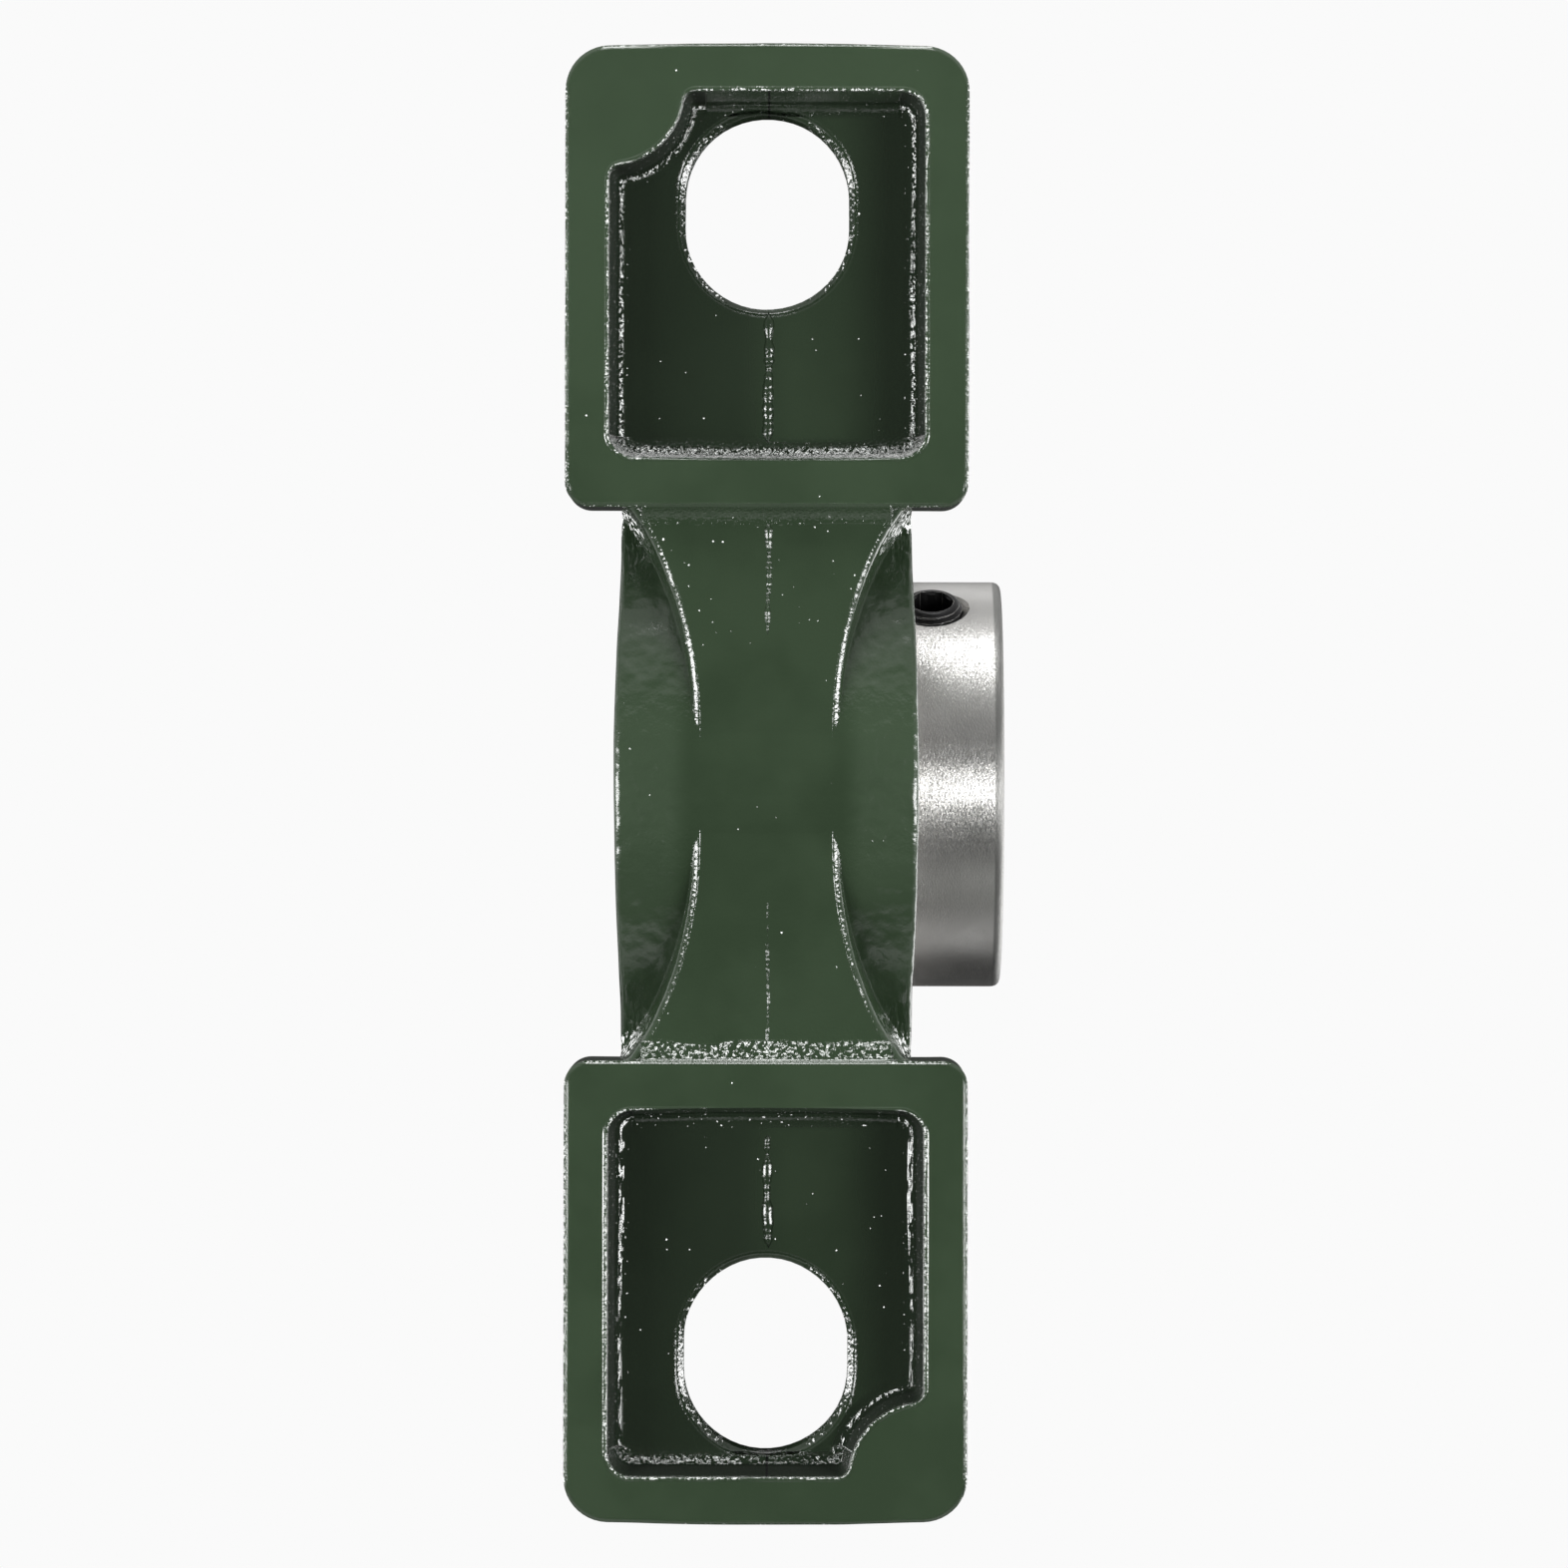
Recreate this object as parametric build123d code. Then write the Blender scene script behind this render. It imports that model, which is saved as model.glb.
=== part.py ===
from build123d import *
import os
from math import atan2, cos, radians, sin, sqrt, tan

# Pillow block bearing for a 40 mm shaft: a cast-iron housing on two hollow feet, with a self-aligning
# ball bearing insert that is held on the shaft by two set screws in the long side of its inner ring.
#
# Frame, in millimetres: the origin is the bearing's centre, where the shaft axis crosses the housing's
# mid-plane. Z is up, the shaft lies along Y and the base along X. The set-screw side is the front, -Y.

# ---------------------------------------------------------------- driving dimensions

# Housing
centre_height = 49.2        # shaft axis above the base
base_length = 184.0
foot_width = 50.2           # along the shaft
foot_gap = 68.8             # between the two feet, under the ring
foot_height = 18.5
foot_end_crown = 0.5        # bulge of each foot's end face, from the mould's draft
foot_corner_outer = 5.6
foot_corner_inner = 3.1
foot_top_round = 1.8
base_edge_break = 0.4
bolt_spacing = 143.4
slot_width = 20.6
slot_length = 24.4
slot_ease = 1.0             # bevel where the slot breaks into the hollow
pocket_width = 39.4         # hollow of each foot, at its rim
pocket_length = 45.5
pocket_depth = 10.4
pocket_draft = 6.0          # degrees
pocket_corner = 3.1
pocket_fillet = 1.5         # hollow corners of the casting inside a foot
pocket_from_end = 5.9       # rim of the hollow to the foot's end face
dowel_boss_radius = 9.3     # solid corner left for a dowel hole
ring_radius = 47.6
ring_width = 38.0           # at the middle; the faces are crowned
face_crown_radius = 480.0   # plan radius of the housing's front and back faces
shoulder_radius = 9.0       # hollow corner from the ring down to the foot
edge_round = 1.2            # cast edges of the ring and shoulders
lower_edge_round = 0.8      # the same under the ring, between the feet
seat_half_width = 12.2      # spherical seat, each side of the mid-plane
mouth_radius = 41.0         # flared mouth at each face
notch_play = 0.3            # filling notches past the outer ring
web_clearance = 2.0         # web underside above the base
web_waist = 18.2            # narrowest width of the web
web_waist_length = 15.0
web_neck = 32.4             # width of the web where it joins a foot
web_neck_corner = 1.4       # hollow corner in plan between the web and a foot
web_draft = 7.0             # degrees
web_side_round = 0.9
web_root_length = 2.4       # hollow corner from the web's underside down to a foot's base edge

# Insert
shaft_diameter = 40.0
sphere_diameter = 80.0
outer_ring_width = 21.0
inner_ring_diameter = 52.5
inner_ring_short_side = 19.0
inner_ring_long_side = 30.2
ball_diameter = 11.906
ball_count = 9
pitch_diameter = 60.0
groove_radius = 6.19        # section of both ball grooves
ball_play = 0.08            # radial, at each groove
land_radius = 34.0          # bore of the outer ring beside its groove
seal_bore_radius = 35.2
seal_bore_depth = 2.3
outer_ring_edge = 0.4
long_end_round = 1.3        # rounding at the end of the inner ring's long side
bore_chamfer = 0.8

# Cage
cage_sheet = 0.9            # thickness of each pressed half
cage_play = 0.2             # between ball and cup
cage_half_band = 2.1        # half the cage's radial width
rivet_radius = 0.8
rivet_head_radius = 1.4
rivet_head_height = 0.6

# Seals and flingers, as radii and thicknesses
washer_bore = 28.4          # inner edge of the seal's washer
washer_rim = 34.5           # inside of its rolled rim
washer_sheet = 0.7
seal_rubber = 0.6           # rubber on the washer's inner face
lip_root = 27.0             # hollow between the two lips
flinger_collar = 27.0       # outside of the collar that grips the inner ring
flinger_rim = 34.0
flinger_sheet = 0.7

# Set screws
screw_radius = 4.0
screw_length = 7.0
screw_plane = -21.1         # where along the shaft axis the screws stand
screw_socket = 5.0          # across flats
screw_socket_depth = 3.6
screw_bevel = 0.5
screw_tip_gap = 0.1         # tip short of the shaft
screw_angles = {"set_screw_top": 90.0, "set_screw_low": 210.0}   # in the XZ plane, from +X

# Running clearances
seat_clearance = 0.05       # spherical seat to outer ring
thread_clearance = 0.05     # radial, set screws and nipple
rivet_clearance = 0.05      # radial
pin_clearance = 0.05        # radial, lock pin in its hole and slot
lip_clearance = 0.05        # seal lip to inner ring

# Grease way and lock pin
grease_plane = 6.2          # along the shaft axis, clear of the ball groove
grease_groove_width = 3.0
grease_groove_depth = 0.9
drilling_radius = 1.5
spot_face_radius = 6.0
spot_face_depth = 0.6
lock_pin_radius = 2.0
lock_pin_depth = 4.2        # into the housing, below the seat
lock_pin_reach = 1.6        # into the outer ring
pin_end_bevel = 0.3
tilt_limit = 2.0            # degrees of self-alignment, each way

# Grease nipple, heights above its spot face
nipple_thread_radius = 3.0
nipple_shank = 5.2          # thread below the spot face
nipple_hexagon = 8.0        # across flats
nipple_hexagon_height = 3.4
nipple_neck_radius = 2.4
nipple_head_radius = 3.25
nipple_height = 9.9
nipple_bore = 1.35          # radius
nipple_end_bore = 0.75      # radius of the way in and out
nipple_ball_radius = 1.2
nipple_ball_z = 8.0
spring_bottom_z = -4.0
spring_wire = 0.16          # radius
spring_radius = 0.95        # mean
spring_turns = 6

# ---------------------------------------------------------------- derived values

base_z = -centre_height
web_z = base_z + web_clearance
foot_top_z = base_z + foot_height
foot_inner_x = foot_gap / 2
foot_outer_x = base_length / 2
slot_x = bolt_spacing / 2
pocket_outer_x = foot_outer_x - pocket_from_end
pocket_inner_x = pocket_outer_x - pocket_length
half_ring = ring_width / 2
sphere_radius = sphere_diameter / 2
seat_radius = sphere_radius + seat_clearance
shaft_radius = shaft_diameter / 2
ball_radius = ball_diameter / 2
pitch_radius = pitch_diameter / 2
inner_radius = inner_ring_diameter / 2
half_outer = outer_ring_width / 2
ball_step = 360.0 / ball_count
nipple_seat_z = ring_radius - spot_face_depth
upright = Align.CENTER, Align.CENTER, Align.MIN    # stands on its placement


# ---------------------------------------------------------------- helpers

def turned(*edges):
    """Body of revolution about the shaft axis, from its closed half section in (radius, axial) points."""
    return revolve(make_face(edges), axis=Axis.Y)


def lathe(points):
    """Body of revolution about the shaft axis from the corners of its section (radius, axial)."""
    return turned(*Polyline(*points, close=True).edges())


def radial(angle, radius=0.0, axial=0.0):
    """Place on a line square to the shaft axis at an angle in the XZ plane; local Z points outwards."""
    direction = (cos(radians(angle)), 0, sin(radians(angle)))
    origin = (radius * direction[0], axial, radius * direction[2])
    return Plane(origin=origin, x_dir=(0, 1, 0), z_dir=direction).location


def across(shape, axial=0.0):
    """Turns a shape that stands on Z so that it lies along the shaft axis."""
    return Pos(0, axial, 0) * Rot(90, 0, 0) * shape


def tube(outer, inner, length, axial=0.0):
    """Straight tube round the shaft axis, from an axial place towards the back."""
    return across(Cylinder(outer, length) - Cylinder(inner, length), axial + length / 2)


def stacked(points):
    """Body of revolution about Z from the corners of its section (radius, height)."""
    return revolve(Plane.XZ * make_face(Polyline(*points, close=True).edges()), axis=Axis.Z)


def back_to_front(shape):
    """The same piece for the other side of the bearing."""
    return mirror(shape, about=Plane.XZ)


# ---------------------------------------------------------------- housing

def crown_plan():
    """Plan outline of the ring and its shoulders: two long arcs for the front and back faces."""
    reach = foot_inner_x + 3 * shoulder_radius
    end = half_ring - (face_crown_radius - sqrt(face_crown_radius**2 - reach**2))
    outline = [
        ThreePointArc((-reach, end), (0, half_ring), (reach, end)),
        Line((reach, end), (reach, -end)),
        ThreePointArc((reach, -end), (0, -half_ring), (-reach, -end)),
        Line((-reach, -end), (-reach, end)),
    ]
    return Pos(0, 0, base_z) * make_face(outline)


def front_outline():
    """Front view of the ring and its shoulders: a circle run out to each foot top by a hollow arc."""
    centre_z = foot_top_z + shoulder_radius
    reach = ring_radius + shoulder_radius
    centre_x = sqrt(reach**2 - centre_z**2)
    tangent_x, tangent_z = centre_x * ring_radius / reach, centre_z * ring_radius / reach
    sunk_z = foot_top_z - 1
    under_x = sqrt(ring_radius**2 - sunk_z**2)
    outline = [
        ThreePointArc((-tangent_x, tangent_z), (0, ring_radius), (tangent_x, tangent_z)),
        ThreePointArc((-under_x, sunk_z), (0, -ring_radius), (under_x, sunk_z)),
    ]
    for side in (1, -1):
        shoulder_end = (side * centre_x, foot_top_z)
        outline.append(RadiusArc((side * tangent_x, tangent_z), shoulder_end, -side * shoulder_radius))
        outline.append(Line(shoulder_end, (side * centre_x, sunk_z)))
        outline.append(Line((side * centre_x, sunk_z), (side * under_x, sunk_z)))
    return Plane.XZ * make_face(outline)


def ring_body():
    """The ring with both shoulders, trimmed to the crowned faces, rounded, and cut level with the web."""
    body = extrude(front_outline(), amount=half_ring + 1, both=True)
    body = body & extrude(crown_plan(), amount=3 * centre_height)
    faces = body.faces().filter_by(lambda f: abs(f.normal_at().Y) > 0.9)
    body = fillet(faces.edges().filter_by(lambda e: (e @ 0.5).Z > foot_top_z - 0.5), edge_round)
    faces = body.faces().filter_by(lambda f: abs(f.normal_at().Y) > 0.9)
    body = fillet(faces.edges().sort_by(Axis.Z)[:2], lower_edge_round)
    under = Align.CENTER, Align.CENTER, Align.MAX
    return body - Pos(0, 0, web_z) * Box(base_length, foot_width, centre_height, align=under)


def foot():
    """The +X foot: a block with a crowned end, hollow from below, with its bolt slot and dowel boss."""
    half = foot_width / 2
    corner_x = foot_outer_x - foot_end_crown
    outline = [
        Line((foot_inner_x, half), (corner_x, half)),
        ThreePointArc((corner_x, half), (foot_outer_x, 0), (corner_x, -half)),
        Line((corner_x, -half), (foot_inner_x, -half)),
        Line((foot_inner_x, -half), (foot_inner_x, half)),
    ]
    plan = make_face(outline)
    corners = plan.vertices().sort_by(Axis.X)
    plan = fillet(corners[:2], foot_corner_inner)
    corners = plan.vertices().sort_by(Axis.X)
    plan = fillet(corners[-2:], foot_corner_outer)
    block = extrude(Pos(0, 0, base_z) * plan, amount=foot_height)
    block = fillet(block.faces().sort_by(Axis.Z)[-1].edges(), foot_top_round)
    block = chamfer(block.faces().sort_by(Axis.Z)[0].edges(), base_edge_break)
    return block - pocket() - bolt_slot()


def pocket():
    """The foot's hollow: a drafted rectangle less the round boss at its outer front corner."""
    rim = Rectangle(pocket_length, pocket_width)
    keep = rim.vertices().filter_by(lambda v: v.X < 0 or v.Y > 0)
    rim = fillet(keep, pocket_corner)
    corner = Vector(pocket_length / 2, -pocket_width / 2)
    rim = rim - Pos(corner) * Circle(dowel_boss_radius)
    boss_reach = dowel_boss_radius + 0.01
    boss_ends = rim.vertices().filter_by(lambda v: (Vector(v.X, v.Y) - corner).length < boss_reach)
    rim = fillet(boss_ends, pocket_fillet)
    centre_x = (pocket_inner_x + pocket_outer_x) / 2
    hollow = extrude(Pos(centre_x, 0, base_z) * rim, amount=pocket_depth, taper=pocket_draft)
    return fillet(hollow.faces().sort_by(Axis.Z)[-1].edges(), pocket_fillet)


def bolt_slot():
    """Bolt slot along the base, eased where it breaks into the hollow."""
    slot = SlotOverall(slot_length, slot_width)
    eased = SlotOverall(slot_length + 2 * slot_ease, slot_width + 2 * slot_ease)
    through = extrude(Pos(slot_x, 0, base_z) * slot, amount=foot_height + 1)
    return through + extrude(Pos(slot_x, 0, base_z + pocket_depth) * eased, amount=slot_ease, taper=45)


def web_plan(height, grow):
    """The web's outline at a height: parallel at the waist, then an arc and a hollow corner to each foot."""
    waist_x, waist_y = web_waist_length / 2, web_waist / 2 + grow
    neck_x, neck_y = foot_inner_x - web_neck_corner / 2, web_neck / 2 + grow
    slope = 2 * atan2(neck_y - waist_y, neck_x - waist_x)
    root_x = neck_x + web_neck_corner * (1 - sin(slope))
    root_y = neck_y + web_neck_corner * cos(slope)
    corners = (waist_x, waist_y), (neck_x, neck_y), (root_x, root_y)
    outline = []
    for side in (1, -1):
        outline.append(Line((-waist_x, side * waist_y), (waist_x, side * waist_y)))
        outline.append(Line((side * root_x, root_y), (side * root_x, -root_y)))
        for end in (1, -1):
            waist, neck, root = [(end * x, side * y) for x, y in corners]
            outline.append(TangentArc(waist, neck, tangent=(end, 0)))
            outline.append(TangentArc(neck, root, tangent=(end * cos(slope), side * sin(slope))))
    return Pos(0, 0, height) * make_face(outline)


def web():
    """Link under the ring between the feet, with drafted sides that widen upwards."""
    top_z = foot_top_z - 1
    grow = (top_z - web_z) * tan(radians(web_draft))
    link = loft([web_plan(web_z, 0), web_plan(top_z, grow)])
    sides = link.faces().sort_by(Axis.Z)[0].edges().filter_by(lambda e: abs(e.tangent_at(0.5).X) > 0.3)
    return fillet(sides, web_side_round) & extrude(crown_plan(), amount=centre_height)


def web_root():
    """Hollow corner under the web at the +X foot, run down almost to the base."""
    start, end = (foot_inner_x - web_root_length, web_z), (foot_inner_x, base_z + base_edge_break / 2)
    inside = foot_inner_x + 1
    outline = [
        TangentArc(start, end, tangent=(1, 0)),
        Line(end, (inside, end[1])), Line((inside, end[1]), (inside, web_z + 1)),
        Line((inside, web_z + 1), (start[0], web_z + 1)), Line((start[0], web_z + 1), start),
    ]
    return extrude(Plane.XZ * make_face(outline), amount=web_neck / 2 - web_side_round, both=True)


def seat_and_bore():
    """Spherical seat for the insert, with a flared mouth to each face."""
    seat_end, face = seat_half_width, half_ring + 0.1
    edge = sqrt(seat_radius**2 - seat_end**2)
    section = [
        Line((0, -face), (mouth_radius, -face)),
        Line((mouth_radius, -face), (edge, -seat_end)),
        ThreePointArc((edge, -seat_end), (seat_radius, 0), (edge, seat_end)),
        Line((edge, seat_end), (mouth_radius, face)),
        Line((mouth_radius, face), (0, face)),
        Line((0, face), (0, -face)),
    ]
    return turned(*section)


def filling_notches():
    """Two notches from the back face, through which the insert goes in edgeways before it is turned."""
    length, height = 2 * (sphere_radius + notch_play), outer_ring_width + 2 * notch_play
    return Box(length, half_ring + 1, height, align=(Align.CENTER, Align.MIN, Align.CENTER))


def grease_way():
    """Tapped hole in the crown, its spot face, the drilling below it and the groove round the seat."""
    place = Pos(0, grease_plane, nipple_seat_z)
    thread, depth = nipple_thread_radius + thread_clearance, nipple_shank + 0.8
    tapped = place * Pos(0, 0, -depth) * Cylinder(thread, depth + 3, align=upright)
    drilling = Pos(0, grease_plane, sphere_radius - 3) * Cylinder(drilling_radius, 6, align=upright)
    spot = place * Cylinder(spot_face_radius, 3, align=upright)
    groove = across(Cylinder(seat_radius + grease_groove_depth, grease_groove_width), grease_plane)
    return tapped + drilling + spot + groove


def lock_pin_hole():
    """Blind hole below the seat for the lock pin."""
    depth = lock_pin_depth + 0.1
    hole = Cylinder(lock_pin_radius + pin_clearance, depth + 3, align=upright)
    return Pos(0, 0, -sphere_radius - depth) * hole


def housing():
    """The whole casting with its machined seat, base and holes."""
    right = foot() + web_root()
    left = Rot(0, 0, 180) * right
    casting = ring_body() + web() + right + left
    return casting - seat_and_bore() - filling_notches() - grease_way() - lock_pin_hole()


# ---------------------------------------------------------------- insert

def outer_ring():
    """Outer ring: spherical outside, ball groove, counterbores for the seals, grease holes, pin slot."""
    ring = Sphere(sphere_radius) & across(Cylinder(sphere_radius, outer_ring_width))
    ring = chamfer(ring.edges().filter_by(GeomType.CIRCLE), outer_ring_edge)
    ring -= across(Cylinder(land_radius, outer_ring_width))
    for side in (1, -1):
        ring -= across(Cylinder(seal_bore_radius, 2 * seal_bore_depth), side * half_outer)
    ring -= across(Torus(pitch_radius + ball_radius + ball_play - groove_radius, groove_radius))
    for angle in (90, 270):
        ring -= radial(angle, land_radius - 1, grease_plane) * Cylinder(1.0, 10, align=upright)
    travel = sphere_radius * sin(radians(tilt_limit)) + 0.2
    width = 2 * (lock_pin_radius + pin_clearance)
    floor = sphere_radius - lock_pin_reach - 0.3
    return ring - extrude(radial(270, floor) * SlotOverall(width + 2 * travel, width), amount=5)


def inner_ring():
    """Inner ring: ball groove, long side to the front with two tapped holes for the set screws."""
    length = inner_ring_long_side + inner_ring_short_side
    middle = (inner_ring_short_side - inner_ring_long_side) / 2
    ring = across(Cylinder(inner_radius, length), middle)
    rims = ring.edges().filter_by(GeomType.CIRCLE).sort_by(Axis.Y)
    ring = fillet(rims[0], long_end_round)
    ring = chamfer(ring.edges().filter_by(GeomType.CIRCLE).sort_by(Axis.Y)[-1], bore_chamfer)
    ring -= across(Cylinder(shaft_radius, length), middle)
    rims = ring.edges().filter_by(GeomType.CIRCLE)
    ring = chamfer(rims.filter_by(lambda e: e.radius == shaft_radius), bore_chamfer)
    ring -= across(Torus(pitch_radius - ball_radius - ball_play + groove_radius, groove_radius))
    tapped = screw_radius + thread_clearance
    mouth = Cone(tapped - 0.3, tapped + 1.0, 1.3, align=upright)
    for angle in screw_angles.values():
        ring -= radial(angle, shaft_radius - 1, screw_plane) * Cylinder(tapped, 10, align=upright)
        ring -= radial(angle, inner_radius - 1.3, screw_plane) * mouth
    return ring


def ball(index):
    """One ball at rest."""
    angle = radians(90 + index * ball_step)
    return Pos(pitch_radius * cos(angle), 0, pitch_radius * sin(angle)) * Sphere(ball_radius)


def cage_half():
    """Back half of the ribbon cage: a flat ring pressed into a cup over every ball."""
    outside, inside = pitch_radius + cage_half_band, pitch_radius - cage_half_band
    cup = ball_radius + cage_play
    half = tube(outside, inside, cage_sheet)
    for i in range(ball_count):
        half += ball_place(i) * Sphere(cup + cage_sheet) & tube(outside, inside, ball_diameter)
    for i in range(ball_count):
        half -= ball_place(i) * Sphere(cup)
        half -= rivet_place(i) * Cylinder(rivet_radius + rivet_clearance, 4 * cage_sheet)
    return half


def ball_place(index):
    """Centre of a ball on the pitch circle."""
    return radial(90 + index * ball_step, pitch_radius)


def rivet_place(index):
    """Midway between two balls, with local Z along the shaft."""
    angle = radians(90 + (index + 0.5) * ball_step)
    return Pos(pitch_radius * cos(angle), 0, pitch_radius * sin(angle)) * Rot(90, 0, 0)


def cage_rivets():
    """Nine rivets with a head each side, as separate solids."""
    rivet = Cylinder(rivet_radius, 2 * cage_sheet)
    for side in (1, -1):
        head = Cylinder(rivet_head_radius, rivet_head_height)
        rivet += Pos(0, 0, side * (cage_sheet + rivet_head_height / 2)) * head
    return Compound(children=[rivet_place(i) * rivet for i in range(ball_count)])


def seal_core():
    """Back seal's pressed washer: a disc whose rim is pushed into the outer ring's counterbore."""
    seat = half_outer - seal_bore_depth
    face, back, rim_end = seat + seal_rubber, seat + seal_rubber + washer_sheet, half_outer - 0.3
    return lathe([
        (washer_bore, face), (washer_rim, face), (washer_rim, seat), (seal_bore_radius, seat),
        (seal_bore_radius, rim_end), (washer_rim, rim_end), (washer_rim, back), (washer_bore, back),
    ])


def seal_lip():
    """Back seal's rubber: bonded to the washer's inner edge, with two lips towards the inner ring."""
    seat = half_outer - seal_bore_depth
    face, back = seat + seal_rubber, seat + seal_rubber + washer_sheet
    lip = inner_radius + lip_clearance
    return lathe([
        (washer_bore, seat), (washer_rim - 0.9, seat), (washer_rim - 0.9, face), (washer_bore, face),
        (washer_bore, back), (lip_root + 0.6, back + 0.2), (lip, back + 0.2), (lip_root, seat + 0.9),
        (lip, seat + 0.1), (lip_root, seat - 0.4),
    ])


def flinger():
    """Back flinger: a thin pressed disc whose collar grips the inner ring outside the seal."""
    near = half_outer - 0.1
    back, collar_end = near + flinger_sheet, near + 3.2
    return lathe([
        (flinger_collar + 0.2, near), (flinger_rim - 0.8, near), (flinger_rim, near + 0.6),
        (flinger_rim - 0.4, near + 1.2), (flinger_rim - 1.2, back), (flinger_collar + 0.8, back),
        (flinger_collar, near + 1.5), (flinger_collar, collar_end), (inner_radius, collar_end),
        (inner_radius, near + 0.9),
    ])


def set_screw():
    """Socket set screw along local Z from its cupped tip, with a hexagon socket in its head."""
    blank = stacked([
        (0, 0.8), (1.4, 0), (2.4, 0), (screw_radius, 1.3), (screw_radius, screw_length - screw_bevel),
        (screw_radius - screw_bevel, screw_length), (0, screw_length),
    ])
    hexagon = RegularPolygon(screw_socket / 2, 6, major_radius=False)
    return blank - extrude(Pos(0, 0, screw_length - screw_socket_depth) * hexagon, amount=screw_length)


def lock_pin():
    """Round pin in the housing, with bevelled ends; the upper one stands in the outer ring's slot."""
    length = lock_pin_depth + lock_pin_reach
    pin = Cylinder(lock_pin_radius, length, align=upright)
    pin = chamfer(pin.edges().filter_by(GeomType.CIRCLE), pin_end_bevel)
    return Pos(0, 0, -sphere_radius - lock_pin_depth) * pin


# ---------------------------------------------------------------- grease nipple

nipple_place = Pos(0, grease_plane, nipple_seat_z)


def nipple_body():
    """Grease nipple: threaded shank, hexagon, neck and a domed head, bored for a ball and spring."""
    body = stacked([
        (0, -nipple_shank), (nipple_thread_radius - 0.4, -nipple_shank),
        (nipple_thread_radius, 0.4 - nipple_shank), (nipple_thread_radius, 0.5),
        (nipple_neck_radius, 0.5), (nipple_neck_radius, 5.2), (nipple_head_radius, 6.6),
        (nipple_head_radius, 7.6), (nipple_neck_radius, 9.4), (1.6, nipple_height), (0, nipple_height),
    ])
    hexagon = RegularPolygon(nipple_hexagon / 2, 6, major_radius=False)
    nut = extrude(hexagon, amount=nipple_hexagon_height)
    nut = nut & Cylinder(nipple_hexagon / 2 + 0.45, nipple_hexagon_height, align=upright)
    bore = stacked([
        (0, -nipple_shank - 1), (nipple_end_bore, -nipple_shank - 1), (nipple_end_bore, spring_bottom_z),
        (nipple_bore, spring_bottom_z), (nipple_bore, nipple_ball_z + 0.2),
        (nipple_end_bore, nipple_ball_z + 1.2), (nipple_end_bore, nipple_height + 1),
        (0, nipple_height + 1),
    ])
    return nipple_place * (body + nut - bore)


def nipple_ball():
    """Check ball just under its seat in the nipple's head."""
    return nipple_place * Pos(0, 0, nipple_ball_z) * Sphere(nipple_ball_radius)


def nipple_spring():
    """Coil spring between the nipple's shelf and the ball."""
    bottom = spring_bottom_z + spring_wire + 0.02
    top = nipple_ball_z - nipple_ball_radius * 0.75 - spring_wire
    path = Helix(pitch=(top - bottom) / spring_turns, height=top - bottom, radius=spring_radius)
    section = Plane(origin=path @ 0, z_dir=path % 0) * RegularPolygon(spring_wire, 6)
    return nipple_place * Pos(0, 0, bottom) * sweep(section, path=path, is_frenet=True)


# ---------------------------------------------------------------- write the pieces

pieces = {
    "housing": housing(),
    "lock_pin": lock_pin(),
    "outer_ring": outer_ring(),
    "inner_ring": inner_ring(),
    "cage_back": cage_half(),
    "cage_rivets": cage_rivets(),
    "seal_core_back": seal_core(),
    "seal_back": seal_lip(),
    "flinger_back": flinger(),
    "nipple_body": nipple_body(),
    "nipple_ball": nipple_ball(),
    "nipple_spring": nipple_spring(),
}
for name in ("cage", "seal_core", "seal", "flinger"):
    pieces[f"{name}_front"] = back_to_front(pieces[f"{name}_back"])
for name, angle in screw_angles.items():
    pieces[name] = radial(angle, shaft_radius + screw_tip_gap, screw_plane) * set_screw()
for i in range(ball_count):
    pieces[f"ball_{i + 1}"] = ball(i)

os.makedirs("parts", exist_ok=True)
for name, shape in pieces.items():
    export_step(shape, f"parts/{name}.step")
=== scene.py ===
import bmesh
import bpy
import math
import numpy as np
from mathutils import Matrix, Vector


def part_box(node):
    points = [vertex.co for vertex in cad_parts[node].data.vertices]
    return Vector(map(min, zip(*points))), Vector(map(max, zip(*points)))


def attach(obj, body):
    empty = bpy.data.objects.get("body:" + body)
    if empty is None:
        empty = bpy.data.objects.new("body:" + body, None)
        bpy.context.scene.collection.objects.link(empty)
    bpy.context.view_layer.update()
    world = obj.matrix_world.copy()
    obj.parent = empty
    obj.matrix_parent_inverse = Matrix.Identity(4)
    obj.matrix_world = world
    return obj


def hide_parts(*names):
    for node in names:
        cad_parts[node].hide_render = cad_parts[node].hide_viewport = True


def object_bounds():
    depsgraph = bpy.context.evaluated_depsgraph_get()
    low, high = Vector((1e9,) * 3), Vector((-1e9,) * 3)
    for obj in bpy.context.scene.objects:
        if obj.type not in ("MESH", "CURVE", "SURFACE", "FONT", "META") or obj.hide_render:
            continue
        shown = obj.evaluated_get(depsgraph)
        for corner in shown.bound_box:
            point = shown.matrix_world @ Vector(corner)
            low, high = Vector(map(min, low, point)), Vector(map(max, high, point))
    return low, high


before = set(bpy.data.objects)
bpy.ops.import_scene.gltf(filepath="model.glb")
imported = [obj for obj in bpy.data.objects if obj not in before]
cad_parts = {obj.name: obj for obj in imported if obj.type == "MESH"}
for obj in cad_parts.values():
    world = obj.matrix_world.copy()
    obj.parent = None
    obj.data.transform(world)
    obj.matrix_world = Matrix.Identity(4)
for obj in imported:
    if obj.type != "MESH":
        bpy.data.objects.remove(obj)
cad_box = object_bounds()

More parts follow.
